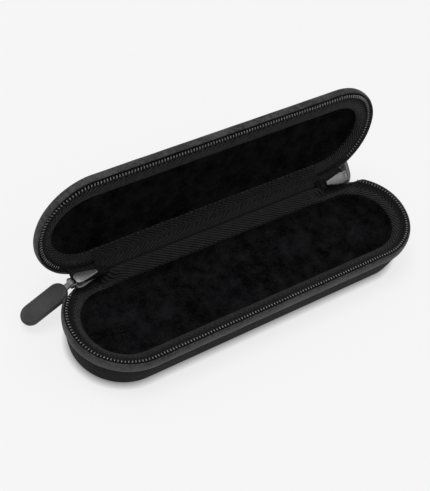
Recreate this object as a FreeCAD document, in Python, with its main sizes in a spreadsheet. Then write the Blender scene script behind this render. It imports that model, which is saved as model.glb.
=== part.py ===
"""Zip case for one fountain pen: two moulded halves joined by a fabric hinge, with a two-way zip.

Millimetres. +X runs along the case, +Y points to the hinge at the back, +Z is up.
The origin is the centre of the lower half's flat foot. The lid is modelled open, as it rests.
"""
import FreeCAD, Part
import math
import os
from collections import namedtuple

import Sketcher
from FreeCAD import Placement, Rotation, Vector

DIMENSIONS = {
    # The two halves
    "rim_length": 180,
    "rim_width": 53,
    "half_depth": 22,
    "rim_drop": 1.6,
    "shoulder_drop": 5,
    "band_height": 3.2,
    "band_thickness": 1.2,
    "band_bevel": 0.5,
    "bottom_inset": 3,
    "bottom_round": 4,
    "wall_thickness": 3,
    "floor_thickness": 2.4,
    "lining_thickness": 3,
    "bed_thickness": 5,
    # The upper half is shallower, with sides that slope in to a flat crown
    "lid_depth": 13,
    "lid_inset": 11.3,
    "lid_round": 12,
    "lid_shoulder_drop": 3.8,
    "lid_lining_thickness": 2,
    # Zip tape and teeth
    "tape_width": 7.2,
    "tape_drop": 3.6,
    "tape_thickness": 0.7,
    "coil_inset": 2.5,
    "coil_core": 0.8,
    "tooth_length": 1.4,
    "tooth_neck": 0.6,
    "tooth_head": 1,
    "tooth_pitch": 2.2,
    "coil_gap": 0.2,
    "coil_start": 40,
    # Fabric hinge
    "hinge_inset": 2.1,
    "hinge_drop": 3.2,
    "hinge_setback": 6.5,
    "fold_radius": 0.8,
    "leaf_width": 5.2,
    "leaf_thickness": 0.6,
    "leaf_clearance": 0.4,
    "back_strip_overlap": 4,
    "lid_open_angle": 96,
    # Room along the hinge for the folding strip and the sliders
    "relief_radius": 4.2,
    "relief_margin": 6,
    # Closed end of the zip chain
    "chain_gap": 1,
    "chain_length": 10.5,
    "chain_width": 3.6,
    "chain_thickness": 1.4,
    "stop_setback": 2,
    "stop_length": 2.7,
    "stop_width": 4.4,
    "stop_thickness": 2.4,
    # Sliders
    "slider_setback": 5.2,
    "slider_length": 10.9,
    "tail_width": 5.2,
    "head_width": 6.4,
    "slider_height": 4.2,
    "channel_height": 2.2,
    "flange": 0.5,
    "flange_length": 6,
    "post_length": 3.6,
    "post_width": 2.2,
    "post_setback": 1,
    # Bail and pull
    "bail_reach": 1.6,
    "lug_width": 0.6,
    "lug_height": 2,
    "lug_gap": 3.2,
    "pin_radius": 0.5,
    "pin_clearance": 0.3,
    "eye_wall": 0.5,
    "link_length": 8,
    "link_width": 2.6,
    "link_thickness": 1.2,
    "tab_start": 2.8,
    "tab_length": 23.6,
    "tab_width": 9.6,
    "tab_thickness": 3,
    "tab_bevel": 0.8,
    # How the two ends of the zip lie at rest
    "left_tilt": 90,
    "left_pull_angle": 33,
    "right_tilt": 48,
    "right_pull_angle": 50,
}

doc = FreeCAD.newDocument("pen_case")
sheet = doc.addObject("Spreadsheet::Sheet", "dims")
for row, (alias, number) in enumerate(DIMENSIONS.items(), start=1):
    sheet.set(f"A{row}", alias)
    sheet.set(f"B{row}", str(number))
    sheet.setAlias(f"B{row}", alias)
doc.recompute()

# Places shared by several pieces, as expressions on the sheet. Reach is the distance out from
# the middle line of the case, which runs between the centres of the two round ends.
RIM_REACH = "dims.rim_width / 2"
SHELL_REACH = "dims.rim_width / 2 - dims.band_thickness"
CAVITY_REACH = f"{SHELL_REACH} - dims.wall_thickness"
END_CENTRE = "(dims.rim_length - dims.rim_width) / 2"
RIM_TOP = "dims.half_depth - dims.rim_drop"
SHOULDER = f"{RIM_TOP} - dims.shoulder_drop"
LID_FOOT = "dims.half_depth - dims.lid_depth"
TAPE_SLOPE = "dims.tape_drop / dims.tape_width"
BED_TOP = "dims.floor_thickness + dims.bed_thickness"
TAPE_TOP = f"{RIM_TOP} + dims.tape_thickness"
HINGE_Y = "dims.rim_width / 2 - dims.hinge_inset"
HINGE_Z = "dims.half_depth - dims.hinge_drop"
HINGE_HALF = f"{END_CENTRE} - dims.hinge_setback"
CHAIN_START = f"{HINGE_HALF} + dims.chain_gap"
STOP_PLACE = f"{CHAIN_START} + dims.stop_setback"
SLIDER_TAIL = f"{CHAIN_START} + dims.slider_setback"
SLIDER_HEAD = f"{SLIDER_TAIL} + dims.slider_length"
PIN_PLACE = f"{SLIDER_HEAD} + dims.bail_reach"
EYE_RADIUS = "dims.pin_radius + dims.pin_clearance + dims.eye_wall"

# Level of the flat outer face, how far the side slopes in to it, the round between them, the shoulder
# above which the side stands upright, the upper face of the floor and the thickness of the lining.
Half = namedtuple("Half", "foot inset rounding shoulder floor lining")
BASE = Half("0", "dims.bottom_inset", "dims.bottom_round", SHOULDER,
            "dims.floor_thickness", "dims.lining_thickness")
LID = Half(LID_FOOT, "dims.lid_inset", "dims.lid_round", f"{RIM_TOP} - dims.lid_shoulder_drop",
           f"{LID_FOOT} + dims.floor_thickness", "dims.lid_lining_thickness")

pieces = []


def value(expression):
    """Number that an expression on the sheet gives."""
    return float(sheet.evalExpression(expression))


def slope_drop(inward):
    """Drop of the sloping rim at a distance inward from the shell's outer face."""
    return f"({inward}) * {TAPE_SLOPE}"


def tape_level(reach):
    """Height of the tape's upper face at a reach."""
    return f"{TAPE_TOP} - {slope_drop(f'{SHELL_REACH} - ({reach})')}"


def cavity_reach(half, height):
    """Reach of the shell's inner face, which slopes in below the shoulder like the outer one."""
    share = f"(({half.shoulder}) - ({height})) / (({half.shoulder}) - ({half.floor}))"
    return f"({CAVITY_REACH}) - {half.inset} * {share}"


def new_body(label):
    body = doc.addObject("PartDesign::Body", label)
    body.Label = label
    pieces.append(body)
    return body


def plane(body, role):
    return next(item for item in body.Origin.OriginFeatures if item.Role == role)


def new_sketch(body, name, role, offset="0"):
    """Sketch on one of the body's origin planes, moved along its normal."""
    sketch = body.newObject("Sketcher::SketchObject", f"{body.Label}_{name}")
    sketch.AttachmentSupport = (plane(body, role), [""])
    sketch.MapMode = "FlatFace"
    if offset != "0":
        sketch.setExpression("AttachmentOffset.Base.z", offset)
    return sketch


def bind(sketch, kind, *geometry, to):
    """Adds a dimension to a sketch and ties it to the sheet."""
    index = sketch.addConstraint(Sketcher.Constraint(kind, *geometry, value(to)))
    sketch.renameConstraint(index, f"size{index}")
    sketch.setExpression(f"Constraints.size{index}", to)


def place_point(sketch, geometry, point, across, up):
    """Ties a point of a sketch to a place, or to an axis where the place is zero."""
    for kind, axis, to in (("DistanceX", -2, across), ("DistanceY", -1, up)):
        if to == "0":
            sketch.addConstraint(Sketcher.Constraint("PointOnObject", geometry, point, axis))
        else:
            bind(sketch, kind, -1, 1, geometry, point, to=to)


def outline(sketch, corners, rounded=None, radius=None):
    """Closed outline of straight lines through corners given as expressions.

    One corner, where the outline turns left, may be rounded."""
    points = [Vector(value(across), value(up), 0) for across, up in corners]
    first = sketch.GeometryCount
    count = len(points)
    for start, end in zip(points, points[1:] + points[:1]):
        sketch.addGeometry(Part.LineSegment(start, end), False)
    for index in range(count):
        following = (index + 1) % count
        if following != rounded:
            sketch.addConstraint(Sketcher.Constraint("Coincident", first + index, 2, first + following, 1))
    for index, (across, up) in enumerate(corners):
        if index != rounded:
            place_point(sketch, first + index, 1, across, up)
    if rounded is not None:
        round_corner(sketch, first + rounded - 1, first + rounded, corners[rounded], radius)


def round_corner(sketch, before, after, corner, radius):
    """Arc, tangent to two lines whose extensions meet in a corner that turns left."""
    place = Vector(value(corner[0]), value(corner[1]), 0)
    way_in = (place - sketch.Geometry[before].StartPoint).normalize()
    way_out = (sketch.Geometry[after].EndPoint - place).normalize()
    turn = way_in.getAngle(way_out)
    size = value(radius)
    start = place - way_in * size * math.tan(turn / 2)
    centre = start + Vector(-way_in.y, way_in.x, 0) * size
    heading = math.atan2(way_in.y, way_in.x) - math.pi / 2
    ring = Part.Circle(centre, Vector(0, 0, 1), size)
    arc = sketch.addGeometry(Part.ArcOfCircle(ring, heading, heading + turn), False)
    mark = sketch.addGeometry(Part.Point(place), True)
    place_point(sketch, mark, 1, *corner)
    for line in (before, after):
        sketch.addConstraint(Sketcher.Constraint("PointOnObject", mark, 1, line))
    sketch.addConstraint(Sketcher.Constraint("Tangent", before, 2, arc, 1))
    sketch.addConstraint(Sketcher.Constraint("Tangent", arc, 2, after, 1))
    bind(sketch, "Radius", arc, to=radius)


def circle(sketch, across, up, radius):
    centre = Vector(value(across), value(up), 0)
    index = sketch.addGeometry(Part.Circle(centre, Vector(0, 0, 1), value(radius)), False)
    place_point(sketch, index, 3, across, up)
    bind(sketch, "Radius", index, to=radius)


def add_feature(body, kind, name, profile, length=None, symmetric=False):
    """Pad, Pocket or Revolution of a sketch."""
    feature = body.newObject(f"PartDesign::{kind}", f"{body.Label}_{name}")
    feature.Profile = profile
    profile.Visibility = False
    if length:
        feature.setExpression("Length", length)
    if symmetric:
        feature.SideType = "Symmetric"
    return feature


def mirror(body, feature, role):
    mirrored = body.newObject("PartDesign::Mirrored", f"{feature.Name}_mirror")
    mirrored.Originals = [feature]
    mirrored.MirrorPlane = (plane(body, role), [""])
    body.Tip = mirrored
    doc.recompute()


def cut(body, name, profile, length, symmetric=False):
    """Pocket that has to take material away."""
    before = body.Shape.Volume
    pocket = add_feature(body, "Pocket", name, profile, length, symmetric)
    doc.recompute()
    if body.Shape.Volume > before - 1e-3:
        raise RuntimeError(f"{name} cuts nothing from {body.Label}")
    return pocket


def soften_edges(body, kind, name, size, chosen):
    """Fillet or Chamfer on the edges that a test on their middle points picks."""
    doc.recompute()
    names = []
    for index, edge in enumerate(body.Shape.Edges, start=1):
        middle = edge.valueAt((edge.FirstParameter + edge.LastParameter) / 2)
        if chosen(middle):
            names.append(f"Edge{index}")
    sharp = body.Tip
    softened = body.newObject(f"PartDesign::{kind}", f"{body.Label}_{name}")
    softened.Base = (sharp, names)
    softened.setExpression("Radius" if kind == "Fillet" else "Size", size)
    body.Tip = softened
    doc.recompute()


def reach_of(point):
    """Distance of a point from the middle line of the case, seen from above."""
    beyond = max(abs(point.x) - value(END_CENTRE), 0)
    return math.hypot(beyond, point.y)


def stadium_piece(label, corners, rounded=None, radius=None):
    """Piece with one section, in reach and height, all round the straight-sided, round-ended plan."""
    body = new_body(label)
    section = new_sketch(body, "straight_section", "YZ_Plane")
    outline(section, corners, rounded, radius)
    straight = add_feature(body, "Pad", "straight", section, f"2 * ({END_CENTRE})", symmetric=True)
    end_section = new_sketch(body, "end_section", "YZ_Plane", f"-({END_CENTRE})")
    outline(end_section, corners, rounded, radius)
    end = add_feature(body, "Revolution", "end", end_section)
    end.ReferenceAxis = (end_section, ["V_Axis"])
    end.Angle = 180
    doc.recompute()
    mirror(body, straight, "XZ_Plane")
    mirror(body, end, "YZ_Plane")
    return body


def hinge_relief(body):
    """Round channel along the hinge line, where the hinge strip folds and the sliders turn."""
    sketch = new_sketch(body, "relief", "YZ_Plane")
    circle(sketch, HINGE_Y, HINGE_Z, "dims.relief_radius")
    cut(body, "relief_cut", sketch, f"2 * ({PIN_PLACE} + dims.relief_margin)", symmetric=True)


def make_shell(label, half):
    """Moulded tub: flat outer face, sloping sides and a rim that slopes in under the tape."""
    return stadium_piece(label, [
        ("0", half.foot),
        (f"{SHELL_REACH} - {half.inset}", half.foot),
        (SHELL_REACH, half.shoulder),
        (SHELL_REACH, RIM_TOP),
        (CAVITY_REACH, f"{RIM_TOP} - {slope_drop('dims.wall_thickness')}"),
        (CAVITY_REACH, half.shoulder),
        (cavity_reach(half, half.floor), half.floor),
        ("0", half.floor),
    ], rounded=1, radius=half.rounding)


def make_band(label):
    """Raised band round the rim."""
    band_foot = f"{RIM_TOP} - dims.band_height"
    band = stadium_piece(label, [
        (SHELL_REACH, band_foot),
        (RIM_REACH, band_foot),
        (RIM_REACH, RIM_TOP),
        (SHELL_REACH, RIM_TOP),
    ])
    rim = value(RIM_REACH)
    foot, top = value(band_foot), value(RIM_TOP)
    soften_edges(band, "Chamfer", "edge_bevel", "dims.band_bevel",
                 lambda p: abs(reach_of(p) - rim) < 1e-3 and min(abs(p.z - foot), abs(p.z - top)) < 1e-3)
    return band


def make_lining(label, half, floor):
    """Plush tub inside the shell, with its edge tucked under the tape."""
    inner_reach = f"{CAVITY_REACH} - {half.lining}"
    inner_floor = f"{floor} + {half.lining}"
    return stadium_piece(label, [
        ("0", floor),
        (cavity_reach(half, floor), floor),
        (CAVITY_REACH, half.shoulder),
        (CAVITY_REACH, f"{RIM_TOP} - {slope_drop('dims.wall_thickness')}"),
        (inner_reach, f"{RIM_TOP} - {slope_drop(f'dims.wall_thickness + {half.lining}')}"),
        (inner_reach, half.shoulder),
        (f"{cavity_reach(half, inner_floor)} - {half.lining}", inner_floor),
        ("0", inner_floor),
    ])


def make_tape(label):
    """Woven tape that slopes in from the rim over the edge of the lining."""
    inner = f"{SHELL_REACH} - dims.tape_width"
    low = f"{RIM_TOP} - dims.tape_drop"
    return stadium_piece(label, [
        (SHELL_REACH, RIM_TOP),
        (SHELL_REACH, TAPE_TOP),
        (inner, f"{low} + dims.tape_thickness"),
        (inner, low),
    ])


def make_coil(label, phase):
    """Row of teeth round the front and the two ends: a core on the tape and one head per tooth."""
    centre = value(END_CENTRE)
    inside = value(f"{RIM_REACH} - dims.coil_inset")
    root = inside + value("dims.coil_core")
    tip = root + value("dims.tooth_length")
    top = value("dims.half_depth - dims.coil_gap")
    seat = value(tape_level(f"{RIM_REACH} - dims.coil_inset"))
    foot = value(TAPE_TOP)
    neck = value("dims.tooth_neck") / 2
    head = value("dims.tooth_head") / 2
    pitch = value("dims.tooth_pitch")
    start = value("dims.coil_start")
    slope = value(TAPE_SLOPE)

    section = Part.makePolygon([
        Vector(0, -inside, seat),
        Vector(0, -root, seat + slope * (root - inside)),
        Vector(0, -root, top),
        Vector(0, -inside, top),
        Vector(0, -inside, seat),
    ])
    face = Part.Face(section)
    core = face.copy()
    core.translate(Vector(-centre, 0, 0))
    core = core.extrude(Vector(2 * centre, 0, 0))
    for side in (-1, 1):
        end = face.copy()
        end.translate(Vector(side * centre, 0, 0))
        sweep = side * (180 - start)
        core = core.fuse(end.revolve(Vector(side * centre, 0, 0), Vector(0, 0, 1), sweep))

    tooth_outline = Part.makePolygon([
        Vector(-neck, -root + neck, foot),
        Vector(-head, -tip, foot),
        Vector(head, -tip, foot),
        Vector(neck, -root + neck, foot),
        Vector(-neck, -root + neck, foot),
    ])
    tooth = Part.Face(tooth_outline).extrude(Vector(0, 0, top - foot))
    middle = (root + tip) / 2
    end_length = math.radians(180 - start) * middle - pitch / 2
    half_count = int((centre + end_length) / pitch - phase)
    stations = [(number + phase) * pitch for number in range(half_count + 1)]
    places = sorted({station * side for station in stations for side in (-1, 1)})
    teeth = []
    for place in places:
        copy = tooth.copy()
        beyond = abs(place) - centre
        side = math.copysign(1, place)
        if beyond <= 0:
            copy.translate(Vector(place, 0, 0))
        else:
            copy.rotate(Vector(0, 0, 0), Vector(0, 0, 1), side * math.degrees(beyond / middle))
            copy.translate(Vector(side * centre, 0, 0))
        teeth.append(copy)
    coil = doc.addObject("Part::Feature", label)
    coil.Label = label
    coil.Shape = core.multiFuse(teeth).removeSplitter()
    pieces.append(coil)
    return coil


def make_strip(label, corners):
    """Strip of hinge fabric with one section along the straight back."""
    strip = new_body(label)
    section = new_sketch(strip, "section", "YZ_Plane")
    outline(section, corners)
    add_feature(strip, "Pad", "strip", section, f"2 * ({HINGE_HALF})", symmetric=True)
    doc.recompute()
    return strip


def make_base_leaf(label):
    """Inner leaf of the hinge: from the lower tape across the channel to the fold."""
    inner = f"{HINGE_Y} - dims.leaf_width"
    bend = f"{HINGE_Y} - dims.relief_radius"
    fold = f"{HINGE_Y} - dims.fold_radius / 2"
    return make_strip(label, [
        (inner, tape_level(inner)),
        (bend, tape_level(bend)),
        (fold, tape_level(bend)),
        (fold, f"{tape_level(bend)} + dims.leaf_thickness"),
        (bend, f"{tape_level(bend)} + dims.leaf_thickness"),
        (inner, f"{tape_level(inner)} + dims.leaf_thickness"),
    ])


def make_back_strip(label):
    """Outer strip of the hinge: from the fold down over the shell's back."""
    near, far = f"{HINGE_Y} - dims.leaf_thickness / 2", f"{HINGE_Y} + dims.leaf_thickness / 2"
    top = f"{HINGE_Z} - dims.fold_radius / 2"
    lean = f"dims.bottom_inset * dims.back_strip_overlap / ({SHOULDER})"
    low = f"{SHOULDER} - dims.back_strip_overlap"
    return make_strip(label, [
        (near, top),
        (SHELL_REACH, SHOULDER),
        (f"{SHELL_REACH} - {lean}", low),
        (f"{SHELL_REACH} - {lean} + dims.leaf_thickness", low),
        (f"{SHELL_REACH} + dims.leaf_thickness", SHOULDER),
        (far, top),
    ])


def make_lid_leaf(label):
    """Spine of the hinge: from the upper tape to just clear of the fold, in the upper half's own frame."""
    inner = f"{HINGE_Y} - dims.leaf_width"
    near, far = f"{HINGE_Y} - dims.leaf_thickness / 2", f"{HINGE_Y} + dims.leaf_thickness / 2"
    edge = f"2 * dims.half_depth - ({HINGE_Z}) - dims.fold_radius - dims.leaf_clearance"
    return make_strip(label, [
        (inner, tape_level(inner)),
        (far, tape_level(far)),
        (far, edge),
        (near, edge),
        (near, f"{tape_level(near)} + dims.leaf_thickness"),
        (inner, f"{tape_level(inner)} + dims.leaf_thickness"),
    ])


def make_fold_cord():
    """Rolled fold of the hinge strip, on the hinge line."""
    cord = new_body("hinge_fold_cord")
    section = new_sketch(cord, "section", "YZ_Plane")
    circle(section, HINGE_Y, HINGE_Z, "dims.fold_radius")
    add_feature(cord, "Pad", "roll", section, f"2 * ({HINGE_HALF})", symmetric=True)
    doc.recompute()
    return cord


def rectangle(x_from, x_to, half_width):
    """Corners of a rectangle, reaching to minus X, centred across."""
    return [
        (f"-({x_from})", f"-({half_width})"),
        (f"-({x_from})", half_width),
        (f"-({x_to})", half_width),
        (f"-({x_to})", f"-({half_width})"),
    ]


def make_zip_stop(label):
    """Closed end of the zip chain with the stop crimped round it, along the hinge line."""
    stop = new_body(label)
    chain = new_sketch(stop, "chain", "XZ_Plane")
    outline(chain, rectangle(CHAIN_START, f"{CHAIN_START} + dims.chain_length", "dims.chain_width / 2"))
    add_feature(stop, "Pad", "chain_strip", chain, "dims.chain_thickness", symmetric=True)
    crimp = new_sketch(stop, "crimp", "XZ_Plane")
    outline(crimp, rectangle(STOP_PLACE, f"{STOP_PLACE} + dims.stop_length", "dims.stop_width / 2"))
    add_feature(stop, "Pad", "crimp_block", crimp, "dims.stop_thickness", symmetric=True)
    doc.recompute()
    return stop


def make_slider(label):
    """Slider: two wedge plates, flanges along the tail and the post that parts the rows at the head."""
    slider = new_body(label)
    tail = SLIDER_TAIL
    waist = f"{SLIDER_TAIL} + dims.flange_length"
    tail_half = "dims.tail_width / 2"
    head_half = "dims.head_width / 2"
    plan = new_sketch(slider, "plan", "XZ_Plane")
    outline(plan, [
        (f"-({tail})", f"-({tail_half})"),
        (f"-({tail})", tail_half),
        (f"-({waist})", tail_half),
        (f"-({SLIDER_HEAD} - dims.flange)", head_half),
        (f"-({SLIDER_HEAD})", f"{head_half} - dims.flange"),
        (f"-({SLIDER_HEAD})", f"-({head_half} - dims.flange)"),
        (f"-({SLIDER_HEAD} - dims.flange)", f"-({head_half})"),
        (f"-({waist})", f"-({tail_half})"),
    ])
    add_feature(slider, "Pad", "block", plan, "dims.slider_height", symmetric=True)
    doc.recompute()

    channel = new_sketch(slider, "channel", "XZ_Plane")
    inner_half = f"{tail_half} - dims.flange"
    mouth_half = f"{head_half} + dims.flange"
    post_middle = f"{SLIDER_HEAD} - dims.post_setback - dims.post_length / 2"
    outline(channel, [
        (f"-({tail} - dims.flange)", f"-({inner_half})"),
        (f"-({tail} - dims.flange)", inner_half),
        (f"-({waist})", inner_half),
        (f"-({waist})", mouth_half),
        (f"-({SLIDER_HEAD} + dims.flange)", mouth_half),
        (f"-({SLIDER_HEAD} + dims.flange)", f"-({mouth_half})"),
        (f"-({waist})", f"-({mouth_half})"),
        (f"-({waist})", f"-({inner_half})"),
    ])
    outline(channel, [
        (f"-({post_middle} - dims.post_length / 2)", "0"),
        (f"-({post_middle})", "dims.post_width / 2"),
        (f"-({post_middle} + dims.post_length / 2)", "0"),
        (f"-({post_middle})", "-dims.post_width / 2"),
    ])
    cut(slider, "channel_cut", channel, "dims.channel_height", symmetric=True)
    plate_edge = value("dims.slider_height") / 2
    soften_edges(slider, "Fillet", "plate_round", "dims.flange",
                 lambda p: abs(abs(p.y) - plate_edge) < 1e-3)
    return slider


def make_bail(label):
    """Two lugs on the slider's nose and the pin between them."""
    bail = new_body(label)
    lug_end = f"{PIN_PLACE} + dims.lug_height / 2"
    for name, sign in (("upper_lug", 1), ("lower_lug", -1)):
        plan = new_sketch(bail, name, "XZ_Plane")
        inner = f"{sign} * dims.lug_gap / 2"
        outer = f"{sign} * (dims.lug_gap / 2 + dims.lug_width)"
        outline(plan, [
            (f"-({SLIDER_HEAD})", inner),
            (f"-({SLIDER_HEAD})", outer),
            (f"-({lug_end})", outer),
            (f"-({lug_end})", inner),
        ])
        add_feature(bail, "Pad", f"{name}_plate", plan, "dims.lug_height", symmetric=True)
        if sign > 0:
            pin = new_sketch(bail, "pin", "XY_Plane")
            circle(pin, f"-({PIN_PLACE})", "0", "dims.pin_radius")
            add_feature(bail, "Pad", "pin_rod", pin, "dims.lug_gap + 2 * dims.lug_width", symmetric=True)
    doc.recompute()
    return bail


def make_link(label):
    """Metal link: an eye round the pin and an arm into the tab."""
    link = new_body(label)
    eye = new_sketch(link, "eye", "XY_Plane")
    circle(eye, "0", "0", EYE_RADIUS)
    add_feature(link, "Pad", "eye_boss", eye, "dims.link_width", symmetric=True)
    arm = new_sketch(link, "arm", "XY_Plane")
    bore_radius = "dims.pin_radius + dims.pin_clearance"
    outline(arm, rectangle(bore_radius, "dims.link_length", "dims.link_thickness / 2"))
    add_feature(link, "Pad", "arm_bar", arm, "dims.link_width", symmetric=True)
    doc.recompute()
    bore = new_sketch(link, "bore", "XY_Plane")
    circle(bore, "0", "0", bore_radius)
    cut(link, "bore_cut", bore, "2 * dims.link_width", symmetric=True)
    return link


def make_tab(label):
    """Moulded tab with round ends, over the end of the link's arm."""
    tab = new_body(label)
    plan = new_sketch(tab, "plan", "XZ_Plane")
    radius = value("dims.tab_width") / 2
    near = -value("dims.tab_start") - radius
    far = -value("dims.tab_start + dims.tab_length") + radius
    up = Vector(0, 0, 1)
    plan.addGeometry(Part.LineSegment(Vector(near, radius, 0), Vector(far, radius, 0)), False)
    far_arc = Part.Circle(Vector(far, 0, 0), up, radius)
    plan.addGeometry(Part.ArcOfCircle(far_arc, math.pi / 2, 3 * math.pi / 2), False)
    plan.addGeometry(Part.LineSegment(Vector(far, -radius, 0), Vector(near, -radius, 0)), False)
    near_arc = Part.Circle(Vector(near, 0, 0), up, radius)
    plan.addGeometry(Part.ArcOfCircle(near_arc, -math.pi / 2, math.pi / 2), False)
    for first, second in ((0, 1), (1, 2), (2, 3), (3, 0)):
        plan.addConstraint(Sketcher.Constraint("Tangent", first, 2, second, 1))
    plan.addConstraint(Sketcher.Constraint("PointOnObject", 1, 3, -1))
    plan.addConstraint(Sketcher.Constraint("PointOnObject", 3, 3, -1))
    bind(plan, "Radius", 1, to="dims.tab_width / 2")
    bind(plan, "DistanceX", -1, 1, 3, 3, to="-(dims.tab_start + dims.tab_width / 2)")
    bind(plan, "DistanceX", -1, 1, 1, 3, to="-(dims.tab_start + dims.tab_length - dims.tab_width / 2)")
    add_feature(tab, "Pad", "body", plan, "dims.tab_thickness", symmetric=True)
    face = value("dims.tab_thickness") / 2
    soften_edges(tab, "Chamfer", "edge_bevel", "dims.tab_bevel", lambda p: abs(abs(p.y) - face) < 1e-3)
    return tab


def hinge_turn(angle):
    """Turn about the hinge line, which runs along X."""
    centre = Vector(0, value(HINGE_Y), value(HINGE_Z))
    return Placement(Vector(), Rotation(Vector(1, 0, 0), angle), centre)


# The upper half is the lower one turned over end for end, then opened about the hinge line.
turn_over = Placement(Vector(), Rotation(Vector(0, 1, 0), 180), Vector(0, 0, value("dims.half_depth")))
lid_place = hinge_turn(-value("dims.lid_open_angle")).multiply(turn_over)

for piece in (make_shell("base_shell", BASE),
              make_band("base_rim_band"),
              make_tape("base_zip_tape"),
              make_lining("base_lining", BASE, BED_TOP)):
    hinge_relief(piece)
make_coil("base_zip_coil", 0)
make_base_leaf("base_hinge_leaf")
make_back_strip("base_back_strip")
make_fold_cord()
stadium_piece("base_bed_pad", [
    ("0", "dims.floor_thickness"),
    (cavity_reach(BASE, "dims.floor_thickness"), "dims.floor_thickness"),
    (cavity_reach(BASE, BED_TOP), BED_TOP),
    ("0", BED_TOP),
])

lid_pieces = [
    make_shell("lid_shell", LID),
    make_band("lid_rim_band"),
    make_tape("lid_zip_tape"),
    make_coil("lid_zip_coil", 0.5),
    make_lid_leaf("lid_hinge_leaf"),
    make_lining("lid_lining", LID, LID.floor),
]
for piece in lid_pieces:
    piece.Placement = lid_place

# Each end of the zip is modelled on the X axis, pointing to minus X with its outer face to plus Y.
for side in ("left", "right"):
    on_hinge = Placement(Vector(0, value(HINGE_Y), value(HINGE_Z)), Rotation())
    tilt = Placement(Vector(), Rotation(Vector(1, 0, 0), -value(f"dims.{side}_tilt")))
    to_side = Placement(Vector(), Rotation(Vector(0, 1, 0), 180 if side == "right" else 0))
    end_place = on_hinge.multiply(tilt).multiply(to_side)
    swing = Rotation(Vector(0, 0, 1), -value(f"dims.{side}_pull_angle"))
    pull_place = end_place.multiply(Placement(Vector(-value(PIN_PLACE), 0, 0), swing))
    for piece in (make_zip_stop(f"{side}_zip_stop"),
                  make_slider(f"{side}_slider_body"),
                  make_bail(f"{side}_slider_bail")):
        piece.Placement = end_place
    for piece in (make_link(f"{side}_pull_link"), make_tab(f"{side}_pull_tab")):
        piece.Placement = pull_place

doc.recompute()
for item in doc.Objects:
    if "Invalid" in item.State or "Error" in item.State:
        raise RuntimeError(f"{item.Label} failed: {item.State}")
os.makedirs("parts", exist_ok=True)
for piece in pieces:
    shape = piece.Shape
    if shape.isNull() or not shape.isValid() or len(shape.Solids) != 1:
        raise RuntimeError(f"{piece.Label} is not one sound solid")
    shape.exportStep(f"parts/{piece.Label}.step")
    box = shape.BoundBox
    print(f"{piece.Label}: {shape.Volume:.0f} mm3, y {box.YMin:.2f} to {box.YMax:.2f}, "
          f"z {box.ZMin:.2f} to {box.ZMax:.2f}")
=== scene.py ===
"""Looks of the zip case for one pen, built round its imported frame.

Metres in Blender. Sections are written in millimetres, as reach from the middle line and height,
for the lower half. The upper half is the same section turned over and opened about the hinge line.
"""

import math

import bmesh
import bpy
import numpy as np
from mathutils import Matrix, Vector, noise

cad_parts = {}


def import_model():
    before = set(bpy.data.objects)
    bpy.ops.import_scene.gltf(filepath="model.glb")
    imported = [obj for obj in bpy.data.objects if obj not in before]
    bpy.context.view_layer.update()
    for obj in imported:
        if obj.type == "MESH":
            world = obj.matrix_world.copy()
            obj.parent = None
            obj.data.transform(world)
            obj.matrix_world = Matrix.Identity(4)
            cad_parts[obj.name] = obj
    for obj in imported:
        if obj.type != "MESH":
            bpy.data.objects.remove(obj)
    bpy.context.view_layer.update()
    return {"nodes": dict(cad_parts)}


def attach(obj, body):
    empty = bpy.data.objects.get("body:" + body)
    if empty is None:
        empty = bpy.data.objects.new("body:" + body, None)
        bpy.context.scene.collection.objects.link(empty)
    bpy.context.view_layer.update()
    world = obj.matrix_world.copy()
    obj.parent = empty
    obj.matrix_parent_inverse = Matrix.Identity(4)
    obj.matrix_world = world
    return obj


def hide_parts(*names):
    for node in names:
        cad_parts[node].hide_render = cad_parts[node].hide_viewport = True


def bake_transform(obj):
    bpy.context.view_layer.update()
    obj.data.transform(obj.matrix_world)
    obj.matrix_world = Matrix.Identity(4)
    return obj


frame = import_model()

# Lengths in millimetres, angles in degrees
MM = 0.001
END_CENTRE = 63.5
MEETING_LEVEL = 22.0
HINGE = Vector((0, 24.4, 18.8))
OPEN_ANGLE = 96.0
BACK_DIP = 2.2
RUN_REACH = 25.0
PIN_PLACE = 75.7
TILT = {"left": 90.0, "right": 48.0}
PULL_ANGLE = {"left": 33.0, "right": 50.0}


def hinge_turn(angle):
    turn = Matrix.Rotation(math.radians(angle), 4, "X")
    return Matrix.Translation(HINGE) @ turn @ Matrix.Translation(-HINGE)


LID = (hinge_turn(-OPEN_ANGLE) @ Matrix.Translation((0, 0, 2 * MEETING_LEVEL))
       @ Matrix.Rotation(math.pi, 4, "Y"))
HALVES = {"base": Matrix.Identity(4), "lid": LID}

# Only the lower half sinks towards the back and is hollowed under the zip's closed ends
IS_LOWER = {"base": 1, "lid": 0}


# Paths and lofts

def stadium_path(step, arc_step):
    """Stations round the plan, as spine x and outward normal, and the length run at the rim."""
    straight = np.linspace(-END_CENTRE, END_CENTRE, int(round(2 * END_CENTRE / step)) + 1)
    turns = np.linspace(0, 180, int(round(180 / arc_step)) + 1)
    left = [(-END_CENTRE, -math.sin(math.radians(a)), -math.cos(math.radians(a))) for a in turns[::-1]]
    right = [(END_CENTRE, math.sin(math.radians(a)), -math.cos(math.radians(a))) for a in turns]
    front = [(x, 0.0, -1.0) for x in straight[1:-1]]
    back = [(x, 0.0, 1.0) for x in straight[-2:0:-1]]
    stations = left + front + right + back
    points = np.array([(x + RUN_REACH * nx, RUN_REACH * ny) for x, nx, ny in stations])
    following = np.roll(points, -1, axis=0)
    return stations, lengths_run(following - points)


def lengths_run(steps):
    """Length run up to each point, from the steps between them."""
    return np.concatenate([[0], np.cumsum(np.linalg.norm(steps, axis=1))])


def back_dip(ny):
    return BACK_DIP * max(ny, 0.0) ** 2


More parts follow.
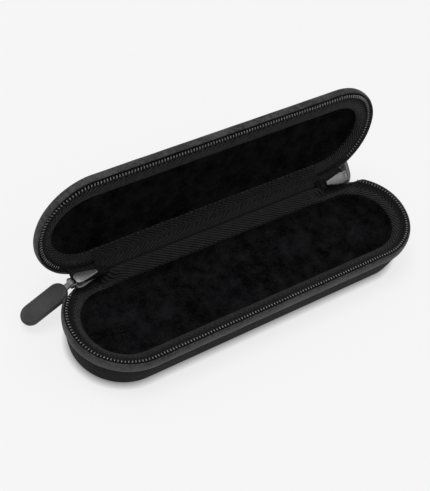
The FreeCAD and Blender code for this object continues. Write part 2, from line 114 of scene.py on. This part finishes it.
def smooth(points, count, span_steps=24):
    """Even points on a Catmull-Rom curve through the given ones."""
    given = np.array(points, float)
    padded = np.vstack([2 * given[0] - given[1], given, 2 * given[-1] - given[-2]])
    curve = []
    for k in range(1, len(padded) - 2):
        a, b, c, d = padded[k - 1:k + 3]
        for t in np.linspace(0, 1, span_steps, endpoint=False):
            curve.append(0.5 * (2 * b + (c - a) * t + (2 * a - 5 * b + 4 * c - d) * t ** 2
                                + (3 * b - a - 3 * c + d) * t ** 3))
    curve = np.array(curve + [given[-1]])
    run = lengths_run(np.diff(curve, axis=0))
    even = np.linspace(0, run[-1], count)
    return np.c_[np.interp(even, run, curve[:, 0]), np.interp(even, run, curve[:, 1])]


def grid_object(name, grid, run, across, close_path, close_section, matrix):
    """Mesh of quads over rows of points, in millimetres, with its lengths as texture coordinates."""
    rows, columns = grid.shape[:2]
    mesh = bpy.data.meshes.new(name)
    vertices = [matrix @ Vector(p) * MM for p in grid.reshape(-1, 3)]
    faces, coordinates = [], []
    for i in range(rows if close_path else rows - 1):
        for j in range(columns if close_section else columns - 1):
            i2, j2 = (i + 1) % rows, (j + 1) % columns
            faces.append((i * columns + j, i2 * columns + j, i2 * columns + j2, i * columns + j2))
            coordinates += [(run[i], across[j]), (run[i + 1], across[j]),
                            (run[i + 1], across[j + 1]), (run[i], across[j + 1])]
    mesh.from_pydata(vertices, [], faces)
    layer = mesh.uv_layers.new(name="lengths_mm")
    layer.data.foreach_set("uv", np.array(coordinates, np.float32).ravel())
    tidy = bmesh.new()
    tidy.from_mesh(mesh)
    bmesh.ops.remove_doubles(tidy, verts=tidy.verts, dist=1e-6)
    bmesh.ops.dissolve_degenerate(tidy, edges=tidy.edges, dist=1e-7)
    bmesh.ops.recalc_face_normals(tidy, faces=tidy.faces)
    tidy.to_mesh(mesh)
    tidy.free()
    mesh.polygons.foreach_set("use_smooth", [True] * len(mesh.polygons))
    return linked_object(name, mesh)


def linked_object(name, data):
    made = bpy.data.objects.new(name, data)
    bpy.context.collection.objects.link(made)
    return made


def apply_modifier(piece, modifier):
    with bpy.context.temp_override(object=piece, active_object=piece, selected_objects=[piece]):
        bpy.ops.object.modifier_apply(modifier=modifier.name)


def loft(name, section_at, path, matrix, shift, close_section=True):
    """Section carried round a closed path, each of its points moved by `shift`."""
    stations, run = path
    grid = []
    for x, nx, ny in stations:
        grid.append([shift((x + w * nx, w * ny, z), nx, ny) for w, z in section_at(ny)])
    section = np.array(section_at(-1.0))
    ring = np.vstack([section, section[:1]])
    across = lengths_run(np.diff(ring, axis=0))
    return grid_object(name, np.array(grid), run, across, True, close_section, matrix)


def dipped(half, section, bottom, top):
    """Section whose part above `bottom` sinks towards the back, by all of the dip at `top`."""
    section = np.array(section, float)
    share = IS_LOWER[half] * np.clip((section[:, 1] - bottom) / (top - bottom), 0, 1)
    return lambda ny: np.c_[section[:, 0], section[:, 1] - share * back_dip(ny)]


def ease(low, high, number):
    share = min(max((number - low) / (high - low), 0), 1)
    return share * share * (3 - 2 * share)


# Materials

class Shader:
    """Principled material put together from nodes."""

    def __init__(self, name, **values):
        self.material = bpy.data.materials.new(name)
        self.material.use_nodes = True
        self.tree = self.material.node_tree
        self.surface = self.tree.nodes["Principled BSDF"]
        for key, number in values.items():
            self.surface.inputs[key.replace("_", " ")].default_value = number

    def add(self, kind, inputs=None, **settings):
        made = self.tree.nodes.new(kind)
        for key, number in settings.items():
            setattr(made, key, number)
        for key, source in (inputs or {}).items():
            if isinstance(source, bpy.types.NodeSocket):
                self.tree.links.new(source, made.inputs[key])
            else:
                made.inputs[key].default_value = source
        return made

    def math(self, operation, first, second=0.0, third=0.0):
        inputs = {0: first, 1: second}
        if operation == "MULTIPLY_ADD":
            inputs[2] = third
        return self.add("ShaderNodeMath", inputs, operation=operation).outputs[0]

    def place(self, kind="Object"):
        return self.add("ShaderNodeTexCoord").outputs[kind]

    def noise(self, scale, detail=3.0, roughness=0.55, where=None):
        inputs = {"Vector": where or self.place(), "Scale": scale, "Detail": detail, "Roughness": roughness}
        return self.add("ShaderNodeTexNoise", inputs).outputs["Fac"]

    def ramp(self, source, low, high, first, second):
        made = self.add("ShaderNodeValToRGB", {"Fac": source})
        made.color_ramp.elements[0].position = low
        made.color_ramp.elements[0].color = (*first, 1)
        made.color_ramp.elements[1].position = high
        made.color_ramp.elements[1].color = (*second, 1)
        return made.outputs["Color"]

    def range(self, source, low, high, first, second):
        return self.add("ShaderNodeMapRange", {"Value": source, "From Min": low, "From Max": high,
                                               "To Min": first, "To Max": second}).outputs["Result"]

    def set(self, socket, source):
        self.tree.links.new(source, self.surface.inputs[socket])

    def bump(self, height, strength, distance, under=None):
        inputs = {"Height": height, "Strength": strength, "Distance": distance}
        if under:
            inputs["Normal"] = under
        return self.add("ShaderNodeBump", inputs).outputs["Normal"]


def grained_fabric(name, dark, light, scale, rough, sheen, shine):
    """Laminated cover cloth: fine even grain, faint cloudiness."""
    made = Shader(name, Sheen_Weight=sheen, Sheen_Roughness=0.5, Specular_IOR_Level=shine)
    cloud = made.noise(90.0, 2.0)
    grain = made.noise(scale, 3.0, 0.6)
    cells = made.add("ShaderNodeTexVoronoi", {"Vector": made.place(), "Scale": scale * 0.9})
    mixed = made.math("MULTIPLY_ADD", grain, 0.6, made.math("MULTIPLY", cloud, 0.4))
    made.set("Base Color", made.ramp(mixed, 0.42, 0.58, dark, light))
    made.set("Roughness", made.range(grain, 0.3, 0.7, rough - 0.08, rough + 0.08))
    soft = made.bump(grain, 0.35, 0.00025)
    made.set("Normal", made.bump(cells.outputs["Distance"], 0.3, 0.00018, soft))
    return made.material


def plush_fabric():
    """Short dense pile that lies this way and that."""
    made = Shader("plush", Roughness=1.0, Sheen_Weight=0.02, Sheen_Roughness=0.45, Specular_IOR_Level=0.04)
    made.surface.inputs["Sheen Tint"].default_value = (0.75, 0.78, 0.85, 1)
    nap = made.noise(130.0, 5.0, 0.7)
    pile = made.noise(1300.0, 3.0, 0.75)
    mixed = made.math("MULTIPLY_ADD", pile, 0.4, made.math("MULTIPLY", nap, 0.6))
    made.set("Base Color", made.ramp(mixed, 0.40, 0.66, (0.0003, 0.0003, 0.0004), (0.0125, 0.0125, 0.014)))
    soft = made.bump(nap, 0.5, 0.0008)
    made.set("Normal", made.bump(pile, 0.6, 0.0004, soft))
    return made.material


def herringbone(name, dark, light, column, pitch, lean, painted_shade_line, painted_shade_width):
    """Woven tape: ribs slanting one way, then the other from column to column; painted shade along a groove.

    A rib runs `lean` times as far along the tape as across it."""
    made = Shader(name, Sheen_Weight=0.03, Sheen_Roughness=0.5, Specular_IOR_Level=0.25)
    split = made.add("ShaderNodeSeparateXYZ", {0: made.place("UV")})
    along, across = split.outputs[0], split.outputs[1]
    slant = made.math("PINGPONG", across, column)
    slanted = made.math("MULTIPLY_ADD", along, 1 / lean, slant)
    turns = made.math("MULTIPLY", slanted, 2 * math.pi / pitch)
    rib = made.range(made.math("SINE", turns), -1.0, 1.0, 0.0, 1.0)
    thread = made.noise(1900.0, 2.0, 0.6)
    worn = made.range(made.noise(330.0, 4.0, 0.7), 0.3, 0.7, 0.0, 1.0)
    woven = made.math("MULTIPLY_ADD", rib, 0.7, made.math("MULTIPLY", thread, 0.3))
    mixed = made.math("MULTIPLY", woven, made.math("MULTIPLY_ADD", worn, 0.6, 0.5))
    # Painted shade: the colour is darkened to black along one line across the tape, in a groove or a fold
    beside = made.math("ABSOLUTE", made.math("SUBTRACT", across, painted_shade_line))
    unshaded = made.range(beside, 0.45 * painted_shade_width, painted_shade_width, 0.0, 1.0)
    made.set("Base Color", made.ramp(made.math("MULTIPLY", mixed, unshaded), 0.12, 0.8, dark, light))
    made.set("Roughness", made.range(thread, 0.3, 0.7, 0.7, 0.9))
    soft = made.bump(rib, 0.8, 0.0005)
    made.set("Normal", made.bump(thread, 0.35, 0.0002, soft))
    return made.material


def metal(name, dark, light, rough):
    """Plated die-cast metal with faint brushing and rubbed patches."""
    made = Shader(name, Metallic=1.0)
    rub = made.noise(260.0, 4.0)
    stretched = made.add("ShaderNodeMapping", {"Vector": made.place(), "Scale": (0.15, 1.0, 1.0)}).outputs[0]
    brush = made.noise(2600.0, 2.0, 0.5, stretched)
    made.set("Base Color", made.ramp(rub, 0.35, 0.65, dark, light))
    made.set("Roughness", made.range(brush, 0.3, 0.7, rough - 0.06, rough + 0.08))
    made.set("Normal", made.bump(brush, 0.08, 0.00008))
    return made.material


def rubber():
    """Moulded rubber, almost even, with a fine matt grain."""
    made = Shader("pull_rubber", Specular_IOR_Level=0.4)
    cast = made.noise(140.0, 3.0)
    grain = made.noise(3200.0, 2.0)
    made.set("Base Color", made.ramp(cast, 0.35, 0.65, (0.034, 0.034, 0.036), (0.05, 0.05, 0.053)))
    made.set("Roughness", made.range(grain, 0.3, 0.7, 0.5, 0.64))
    made.set("Normal", made.bump(grain, 0.12, 0.00008))
    return made.material


def teeth_plastic():
    """Dark plated teeth that differ a little from one to the next."""
    made = Shader("zip_teeth", Metallic=0.8, Specular_IOR_Level=0.6)
    batch = made.noise(420.0, 2.0)
    made.set("Base Color", made.ramp(batch, 0.35, 0.65, (0.14, 0.14, 0.144), (0.2, 0.2, 0.205)))
    made.set("Roughness", made.range(batch, 0.3, 0.7, 0.28, 0.4))
    return made.material


# Length across the hinge cloth at which its fold lies
CREASE = 7.6

MATERIALS = {
    "shell_fabric": grained_fabric("shell_fabric", (0.002, 0.002, 0.0022), (0.0095, 0.0095, 0.0102),
                                   scale=800.0, rough=0.78, sheen=0.01, shine=0.1),
    "rim_fabric": grained_fabric("rim_fabric", (0.020, 0.020, 0.0205), (0.058, 0.058, 0.059),
                                 scale=750.0, rough=0.6, sheen=0.04, shine=0.22),
    "plush": plush_fabric(),
    # Painted shade in the zip tape's groove beside the teeth
    "zip_tape": herringbone("zip_tape", (0.0005, 0.0005, 0.0006), (0.042, 0.042, 0.043),
                            column=4.6, pitch=1.3, lean=2.0, painted_shade_line=0.9, painted_shade_width=4.2),
    # Painted shade along the hinge cloth's fold
    "hinge_tape": herringbone("hinge_tape", (0.0006, 0.0006, 0.0007), (0.020, 0.020, 0.021),
                              column=CREASE, pitch=1.25, lean=2.0, painted_shade_line=CREASE, painted_shade_width=1.6),
    "zip_teeth": teeth_plastic(),
    "slider_metal": metal("slider_metal", (0.28, 0.28, 0.29), (0.38, 0.38, 0.39), rough=0.52),
    "pull_rubber": rubber(),
}


def finish_piece(piece, body, slot, *nodes, material=None):
    piece.data.materials.clear()
    piece.data.materials.append(MATERIALS[material or slot])
    if body:
        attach(piece, body)
    if nodes:
        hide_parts(*nodes)
    return piece


# The two halves

# The hollow under each closed end of the zip: its depth, how far it draws the rim in,
# and the places between which it sets in and runs out
NOTCH = 3.1
PINCH = 0.5
NOTCH_NEAR = (51, 59)
NOTCH_FAR = (77, 87)
NOTCH_FRONT = (17.5, 21.0)
NOTCH_FLOOR = (11, 16)


def arc_points(centre, radius, first, last, count):
    return [(centre[0] + radius * math.cos(math.radians(a)), centre[1] + radius * math.sin(math.radians(a)))
            for a in np.linspace(first, last, count)]


def unmoved(p, nx, ny):
    return p


def ripple(scale, size, seed):
    """Small uneven shift of a surface along its own plan, the same in every run."""
    offset = Vector((seed * 7.1, seed * 3.3, seed * 1.7))

    def shift(p, nx, ny):
        push = size * noise.noise(Vector(p) / scale + offset)
        return (p[0] + nx * push, p[1] + ny * push, p[2])
    return shift


def notch_share(p):
    """How far a point of the lower half lies in the hollow under a closed end of the zip, from 0 to 1."""
    along = ease(*NOTCH_NEAR, abs(p[0])) * (1 - ease(*NOTCH_FAR, abs(p[0])))
    return along * ease(*NOTCH_FRONT, p[1]) * ease(*NOTCH_FLOOR, p[2])


def with_notch(half, shift):
    """Hollows the lower rim under the two closed ends of the zip, where chain and slider turn."""
    def lowered(p, nx, ny):
        share = IS_LOWER[half] * notch_share(p)
        x, y, z = shift(p, nx, ny)
        return x - PINCH * share * nx, y - PINCH * share * ny, z - NOTCH * share
    return lowered


def pairs(points):
    return [tuple(p) for p in points]


SHELL_PATH = stadium_path(4.0, 4.0)
RIM_PATH = stadium_path(1.6, 2.5)
PLUSH_PATH = stadium_path(1.3, 2.2)

# Heights between which each section takes on the dip: all of the rim takes the whole dip
SHELL_DIP = (9.0, 20.0)
RIM_DIP = (4.0, 6.0)
PLUSH_DIP = (11.0, 16.5)

RIM_BACK = [(25.35, 18.0), (25.3, 20.1), (24.4, 19.9), (22.4, 18.8), (22.3, 17.0)]
BASE_FOOT = arc_points((19.0, 4.0), 4.0, -90, -11, 10)
BASE_SIDE = smooth([BASE_FOOT[-1], (23.75, 6.5), (24.65, 10.5), (25.2, 14.0), (25.35, 15.6)], 12)[1:]
LID_CROWN = smooth([(0, 8.7), (5, 8.75), (9.5, 9.1), (13.5, 10.0), (17.5, 11.7), (21.0, 13.6),
                    (23.8, 15.3), (25.0, 16.4), (25.35, 17.2)], 34)
SHELL = {
    "base": ([(0, 0), (8, 0), (15, 0)] + BASE_FOOT + pairs(BASE_SIDE) + RIM_BACK
             + [(22.2, 15.4), (19.6, 3.4), (19.0, 2.4), (10, 2.4), (0, 2.4)]),
    "lid": pairs(LID_CROWN) + RIM_BACK + [(21.5, 16.4), (13.0, 11.6), (6, 11.4), (0, 11.4)],
}
BAND_TOP = [(26.62, 18.6), (26.55, 19.6), (26.42, 20.2), (26.2, 20.7), (25.95, 20.85), (25.72, 20.7),
            (25.6, 20.3), (25.4, 19.6)]
BAND = {
    "base": ([(25.1, 16.0), (25.5, 15.75), (26.0, 15.7), (26.3, 15.95), (26.45, 16.5), (26.55, 17.4)]
             + BAND_TOP),
    "lid": [(25.2, 17.5), (25.5, 17.2), (26.0, 17.15), (26.35, 17.35), (26.52, 17.8)] + BAND_TOP,
}
TAPE_TOP = smooth([(25.45, 20.2), (24.4, 20.0), (23.4, 19.8), (22.4, 19.55), (20.6, 18.75), (19.3, 17.9),
                   (18.7, 17.4), (18.4, 16.8)], 24)
HANGING_TOP = smooth([(25.45, 20.2), (24.4, 19.8), (23.4, 19.2), (22.6, 19.2), (21.4, 20.1), (19.8, 20.8),
                      (17.8, 20.7), (16.6, 20.0)], 24)
PLUSH_TOP = {
    "base": smooth([(0, 10.9), (5, 10.85), (10, 10.7), (13.5, 10.8), (15.6, 11.6), (16.9, 13.2),
                    (17.6, 15.0), (18.2, 16.3), (19.2, 16.9), (20.2, 16.6)], 46),
    "lid": smooth([(0, 13.3), (5, 13.3), (9.5, 13.4), (12.5, 13.8), (15.0, 14.6), (16.8, 15.6),
                   (18.0, 16.4), (19.0, 16.9), (20.2, 16.6)], 46),
}
PLUSH_BACK = {
    "base": [(20.8, 15.4), (19.6, 10.5), (18.4, 6.0), (0, 5.6)],
    "lid": [(20.6, 16.0), (13.0, 12.0), (0, 11.8)],
}
PLUSH_NODES = {"base": ["base_lining", "base_bed_pad"], "lid": ["lid_lining"]}


def with_back(top):
    """Closed section of a tape: its upper side, and the same line again a little lower."""
    return np.vstack([top, top[::-1] + (0.25, -0.5)])


TAPE = with_back(TAPE_TOP)
HANGING_TAPE = with_back(HANGING_TOP)


def lid_tape(ny):
    """The upper tape hangs loose along the front and lies on its slope towards the hinge."""
    loose = min(max(0.35 - 0.65 * ny, 0), 1) ** 1.5
    return TAPE * (1 - loose) + HANGING_TAPE * loose


TAPE_SECTION = {"base": dipped("base", TAPE, *RIM_DIP), "lid": lid_tape}

for half, matrix in HALVES.items():
    shell = loft(f"{half}_shell_cover", dipped(half, SHELL[half], *SHELL_DIP), SHELL_PATH, matrix,
                 with_notch(half, unmoved), close_section=False)
    finish_piece(shell, half, "shell_fabric", f"{half}_shell")
    band = loft(f"{half}_band_cover", dipped(half, BAND[half], *RIM_DIP), RIM_PATH, matrix,
                with_notch(half, ripple(scale=9.0, size=0.10, seed=1)))
    finish_piece(band, half, "rim_fabric", f"{half}_rim_band")
    tape = loft(f"{half}_tape_weave", TAPE_SECTION[half], RIM_PATH, matrix,
                with_notch(half, ripple(scale=7.0, size=0.12, seed=2)))
    finish_piece(tape, half, "zip_tape", f"{half}_zip_tape")
    plush_section = pairs(PLUSH_TOP[half]) + PLUSH_BACK[half]
    plush = loft(f"{half}_plush", dipped(half, plush_section, *PLUSH_DIP), PLUSH_PATH, matrix,
                 with_notch(half, unmoved), close_section=False)
    finish_piece(plush, half, "plush", *PLUSH_NODES[half])

# Height and width of the large and the small patches of nap, and the level that they stay under
NAP = ((0.28, 6.0), (0.12, 1.7))
NAP_TOP = 16.4


def pile_up(piece, matrix, seed):
    """Uneven nap: the surface of the plush moves a little in and out, in large and small patches."""
    mesh = piece.data
    back = matrix.inverted()
    offset = Vector((seed * 5.3, seed * 2.9, 0))
    normals = [v.normal.copy() for v in mesh.vertices]
    for v, normal in zip(mesh.vertices, normals):
        p = v.co / MM
        if (back @ p).z < NAP_TOP:
            push = sum(height * noise.noise(p / width + offset) for height, width in NAP)
            v.co += normal * push * MM


for seed, (half, matrix) in enumerate(HALVES.items(), 1):
    pile_up(bpy.data.objects[f"{half}_plush"], matrix, seed)


# Zip teeth

TEETH_PITCH = 1.45
# Turn from the front at which the rows end, and the turns between which they sink
TEETH_SWEEP = 140.0
TEETH_SINKING = (20, 70)
TEETH_LEVEL = {"base": 20.75, "lid": 21.15}
TEETH_REACH = {"base": 24.55, "lid": 24.2}
TEETH_SINK = {"base": 0.4, "lid": 1.45}
TEETH_PHASE = {"base": 0.0, "lid": 0.5}
TOOTH = {"base": (0.34, 0.7, 0.5), "lid": (0.34, 0.9, 0.5)}
TOOTH_ROUNDNESS = 0.7


def bead(size, rings=6, sides=8):
    """Rounded bead as vertices and faces, its length along Y."""
    made = bmesh.new()
    bmesh.ops.create_uvsphere(made, u_segments=sides, v_segments=rings, radius=1.0)
    for v in made.verts:
        squared = [math.copysign(abs(c) ** TOOTH_ROUNDNESS, c) for c in v.co]
        v.co = Vector((squared[0] * size[0], squared[1] * size[1], squared[2] * size[2]))
    made.verts.ensure_lookup_table()
    points = [v.co.copy() for v in made.verts]
    faces = [[v.index for v in f.verts] for f in made.faces]
    made.free()
    return points, faces


def teeth(half, matrix):
    points, faces = bead(TOOTH[half])
    reach = TEETH_REACH[half]
    half_run = END_CENTRE + math.radians(TEETH_SWEEP) * reach
    count = int(half_run / TEETH_PITCH)
    vertices, polygons = [], []
    for k in range(-count, count + 1):
        place = (k + TEETH_PHASE[half]) * TEETH_PITCH
        if abs(place) > half_run:
            continue
        side = math.copysign(1, place)
        beyond = max(abs(place) - END_CENTRE, 0)
        turn = side * beyond / reach
        spin = Matrix.Rotation(turn, 4, "Z").to_3x3()
        dip = IS_LOWER[half] * back_dip(-math.cos(turn))
        sink = TEETH_SINK[half] * ease(*TEETH_SINKING, math.degrees(abs(turn)))
        spine = Vector((side * END_CENTRE if beyond else place, 0, TEETH_LEVEL[half] - sink - dip))
        centre = spine + spin @ Vector((0, -reach, 0))
        first = len(vertices)
        vertices += [matrix @ (centre + spin @ p) * MM for p in points]
        polygons += [[first + i for i in f] for f in faces]
    mesh = bpy.data.meshes.new(f"{half}_teeth")
    mesh.from_pydata(vertices, [], polygons)
    mesh.polygons.foreach_set("use_smooth", [True] * len(polygons))
    return linked_object(f"{half}_teeth", mesh)


for half, matrix in HALVES.items():
    finish_piece(teeth(half, matrix), half, "zip_teeth", f"{half}_zip_coil")


# Fabric hinge

def lid_section(w, z):
    p = LID @ Vector((0, w, z))
    return p.y, p.z


CLOTH_THICKNESS = 0.5
HINGE_HALF = 62.0
HINGE_STATIONS = 125
# The cloth sinks towards its ends from here on, and ripples a little
HINGE_ENDING = 50.0
HINGE_END_SINK = 0.85
HINGE_RIPPLE = 0.10
# Depths between which the cloth leaves the rim's hollow
HOLLOW_LEFT = (21.4, 23.2)
FOLD = smooth([(18.5, 15.75), (20.0, 16.75), (21.6, 17.75), (22.8, 18.4), (23.5, 18.5), (24.1, 18.0),
               (24.5, 17.5), (24.95, 18.0), (25.5, 18.9), (26.6, 19.5), (27.9, 20.2),
               lid_section(22.6, 20.6), lid_section(20.6, 19.3), lid_section(18.7, 18.0)], 64)


def thicken(piece):
    thick = piece.modifiers.new("cloth", "SOLIDIFY")
    thick.thickness = CLOTH_THICKNESS * MM
    thick.offset = -1
    apply_modifier(piece, thick)


def hollowed(x, y, z):
    return x, y, z - NOTCH * notch_share((x, y, z)) * (1 - ease(*HOLLOW_LEFT, y))


def hinge_cloth():
    stations = np.linspace(-HINGE_HALF, HINGE_HALF, HINGE_STATIONS)
    across = lengths_run(np.diff(FOLD, axis=0))
    along = np.gradient(FOLD, axis=0)
    upward = np.c_[-along[:, 1], along[:, 0]] / np.linalg.norm(along, axis=1)[:, None]
    grid = []
    for x in stations:
        ending = min(max((abs(x) - HINGE_ENDING) / (HINGE_HALF - HINGE_ENDING), 0), 1)
        lift = HINGE_RIPPLE * noise.noise(Vector((x / 9.0, 3.1, 0.4))) - HINGE_END_SINK * ending ** 2
        grid.append([hollowed(x, y, z) for y, z in FOLD + upward * lift])
    made = grid_object("hinge_cloth", np.array(grid), stations + HINGE_HALF, across, False, False,
                       Matrix.Identity(4))
    thicken(made)
    return made, across[-1]


hinge, hinge_width = hinge_cloth()
finish_piece(hinge, None, "zip_tape", "base_hinge_leaf", "lid_hinge_leaf", "hinge_fold_cord",
             "base_back_strip", material="hinge_tape")
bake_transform(hinge)

WEB_SPAN = (60.0, 75.0)
WEB_REACH = 24.6
WEB_LEVEL = 19.9
WEB_CROWN = 0.5
WEB_STATIONS = 24
WEB_ROWS = 9


def zip_web(side, sign):
    """Tape beside the closed end of the zip, from the chain on the hinge line to the upper tape's edge."""
    stations = np.linspace(*WEB_SPAN, WEB_STATIONS)
    grid = []
    for x in stations:
        beyond = max(x - END_CENTRE, 0)
        chain = Vector((sign * x, HINGE.y, HINGE.z))
        edge = LID @ Vector((-sign * x, math.sqrt(WEB_REACH ** 2 - beyond ** 2), WEB_LEVEL))
        grid.append([chain.lerp(edge, t) + Vector((0, 0, WEB_CROWN * math.sin(math.pi * t)))
                     for t in np.linspace(0, 1, WEB_ROWS)])
    across = np.linspace(0, (edge - chain).length, WEB_ROWS)
    made = grid_object(f"{side}_zip_web", np.array(grid), stations, across, False, False, Matrix.Identity(4))
    thicken(made)
    finish_piece(made, "lid", "zip_tape", material="hinge_tape")


zip_web("left", -1)
zip_web("right", 1)


# Sliders and pulls

SLIDER_PLAN = [(63.2, -0.95), (63.2, 0.95), (71.6, 3.1), (73.2, 2.9), (74.1, 1.9),
               (74.1, -1.9), (73.2, -2.9), (71.6, -3.1)]
SLIDER_POST = [(69.5, 0.0), (70.9, 0.95), (73.1, 0.6), (73.1, -0.6), (70.9, -0.95)]
SLIDER_INNER, SLIDER_OUTER = 1.0, 2.1
LOWER_PLATE_SHARE = 0.86
SLIDER_BEVEL = 0.22
TAB_START = 2.8
TAB_LENGTH = 23.6
TAB_WIDTH = 9.6
# Share of the tab's outline and height, from the sunk face over the low rim to the edge
TAB_LEVELS = [(0.0, 1.18), (0.42, 1.18), (0.60, 1.2), (0.66, 1.42), (0.76, 1.5), (0.88, 1.38),
              (0.96, 1.05), (1.0, 0.55)]
TAB_ARC_POINTS = 17


def end_matrix(side):
    made = Matrix.Translation(HINGE) @ Matrix.Rotation(math.radians(-TILT[side]), 4, "X")
    return made @ Matrix.Rotation(math.pi, 4, "Y") if side == "right" else made


def pull_matrix(side):
    swing = Matrix.Rotation(math.radians(-PULL_ANGLE[side]), 4, "Z")
    return end_matrix(side) @ Matrix.Translation((-PIN_PLACE, 0, 0)) @ swing


def plate(tool, outline, low, high):
    """Plate with an outline along minus X and across Z, from one level to another in Y."""
    bottom = [tool.verts.new((-x, low, z)) for x, z in outline]
    top = [tool.verts.new((-x, high, z)) for x, z in outline]
    count = len(outline)
    tool.faces.new(bottom)
    tool.faces.new(top[::-1])
    for k in range(count):
        tool.faces.new((bottom[k], top[k], top[(k + 1) % count], bottom[(k + 1) % count]))


def mesh_object(name, tool, matrix, bevel=0.0):
    bmesh.ops.recalc_face_normals(tool, faces=tool.faces)
    mesh = bpy.data.meshes.new(name)
    tool.to_mesh(mesh)
    tool.free()
    made = linked_object(name, mesh)
    if bevel:
        soft = made.modifiers.new("edges", "BEVEL")
        soft.width = bevel
        soft.segments = 2
        soft.limit_method = "ANGLE"
        soft.angle_limit = math.radians(25)
        apply_modifier(made, soft)
    made.data.transform(Matrix.Scale(MM, 4) @ matrix)
    made.data.polygons.foreach_set("use_smooth", [True] * len(made.data.polygons))
    made.data.set_sharp_from_angle(angle=math.radians(32))
    return made


def slider(side):
    """Two plates of a wedge outline on a post, with the zip's channel between them."""
    tool = bmesh.new()
    plate(tool, SLIDER_PLAN, SLIDER_INNER, SLIDER_OUTER)
    plate(tool, [(x, LOWER_PLATE_SHARE * z) for x, z in SLIDER_PLAN], -SLIDER_OUTER, -SLIDER_INNER)
    plate(tool, SLIDER_POST, -SLIDER_INNER, SLIDER_INNER)
    made = mesh_object(f"{side}_slider_cast", tool, end_matrix(side), SLIDER_BEVEL)
    finish_piece(made, f"{side}_slider", "slider_metal", f"{side}_slider_body")


def tab(side):
    """Rounded tab: an oval in plan and a soft lens in section, with a sunk face inside a low rim."""
    radius = TAB_WIDTH / 2
    near, far = TAB_START + radius, TAB_START + TAB_LENGTH - radius
    turns = np.linspace(0, math.pi, TAB_ARC_POINTS)
    outline = [(near - radius * math.sin(a), radius * math.cos(a)) for a in turns]
    outline += [(far + radius * math.sin(a), -radius * math.cos(a)) for a in turns]
    tool = bmesh.new()
    loops = []
    for share, height in TAB_LEVELS + [(share, -height) for share, height in TAB_LEVELS[::-1]]:
        loop = []
        for x, z in outline:
            spine = min(max(x, near), far)
            loop.append(tool.verts.new((-(spine + (x - spine) * share), height, z * share)))
        loops.append(loop)
    for lower, upper in zip(loops, loops[1:]):
        for k in range(len(outline)):
            k2 = (k + 1) % len(outline)
            tool.faces.new((lower[k], lower[k2], upper[k2], upper[k]))
    bmesh.ops.remove_doubles(tool, verts=tool.verts, dist=1e-5)
    bmesh.ops.dissolve_degenerate(tool, edges=tool.edges, dist=1e-5)
    bmesh.ops.holes_fill(tool, edges=tool.edges)
    made = mesh_object(f"{side}_tab_moulding", tool, pull_matrix(side))
    finish_piece(made, f"{side}_pull", "pull_rubber", f"{side}_pull_tab")


# CAD solids that show as they are
SHOWN_NODES = {"zip_stop": "shell_fabric", "slider_bail": "slider_metal", "pull_link": "slider_metal"}

for side in TILT:
    slider(side)
    tab(side)
    for node, look in SHOWN_NODES.items():
        shown = frame["nodes"][f"{side}_{node}"]
        shown.data.materials.clear()
        shown.data.materials.append(MATERIALS[look])


# Floor, light and camera, in metres

# The floor's own glow, the share of it that is seen, and how far the contact shadow reaches
BACKGROUND = 0.95
PALE_SHARE = 0.8
CONTACT_REACH = 0.0035
FLOOR_HALF = 4
FLOOR_COLOUR = (0.91, 0.91, 0.91, 1)
WORLD_STRENGTH = 0.42
LIGHT_TARGET = Vector((0, 0.02, 0.02))
LENS = 82.45
CAMERA_PLACE = (-0.24476, -0.21341, 0.40012)
CAMERA_FORWARD = Vector((0.4710, 0.4534, -0.7567)).normalized()
CAMERA_RIGHT = Vector((0.8182, -0.5453, 0.1824)).normalized()


def floor():
    mesh = bpy.data.meshes.new("floor")
    corners = [(x * FLOOR_HALF, y * FLOOR_HALF, 0) for x, y in ((-1, -1), (1, -1), (1, 1), (-1, 1))]
    mesh.from_pydata(corners, [], [(0, 1, 2, 3)])
    shader = Shader("floor", Roughness=0.9, Specular_IOR_Level=0.0)
    shader.surface.inputs["Base Color"].default_value = FLOOR_COLOUR
    contact = shader.add("ShaderNodeAmbientOcclusion", {"Distance": CONTACT_REACH})
    glow = shader.add("ShaderNodeEmission", {"Color": contact.outputs["Color"], "Strength": BACKGROUND})
    rays = shader.add("ShaderNodeLightPath").outputs
    direct = shader.math("MAXIMUM", rays["Is Camera Ray"], rays["Is Glossy Ray"])
    seen = shader.math("MAXIMUM", direct, rays["Is Transmission Ray"])
    share = shader.math("MULTIPLY", seen, PALE_SHARE)
    mixed = shader.add("ShaderNodeMixShader", {0: share, 1: shader.surface.outputs[0], 2: glow.outputs[0]})
    shader.tree.links.new(mixed.outputs[0], shader.tree.nodes["Material Output"].inputs["Surface"])
    mesh.materials.append(shader.material)
    linked_object("floor", mesh)


def area_light(name, place, size, power):
    data = bpy.data.lights.new(name, "AREA")
    data.shape = "DISK"
    data.size = size
    data.energy = power
    made = linked_object(name, data)
    made.location = place
    made.rotation_euler = (LIGHT_TARGET - Vector(place)).to_track_quat("-Z", "Y").to_euler()


def world():
    made = bpy.data.worlds.new("studio")
    made.use_nodes = True
    background = made.node_tree.nodes["Background"]
    background.inputs["Color"].default_value = (1, 1, 1, 1)
    background.inputs["Strength"].default_value = WORLD_STRENGTH
    bpy.context.scene.world = made


def camera():
    data = bpy.data.cameras.new("camera")
    data.lens = LENS
    data.sensor_width = 36.0
    data.sensor_fit = "AUTO"
    data.clip_start = 0.01
    data.clip_end = 50
    made = linked_object("camera", data)
    upward = CAMERA_RIGHT.cross(CAMERA_FORWARD)
    axes = Matrix((CAMERA_RIGHT, upward, -CAMERA_FORWARD)).transposed().to_4x4()
    made.matrix_world = Matrix.Translation(CAMERA_PLACE) @ axes
    bpy.context.scene.camera = made


floor()
world()
area_light("key", (-0.32, 0.2, 1.4), size=0.8, power=9.5)
area_light("fill", (0.9, -0.5, 1.1), size=1.2, power=2.5)
camera()
bpy.context.scene.view_settings.view_transform = "Standard"
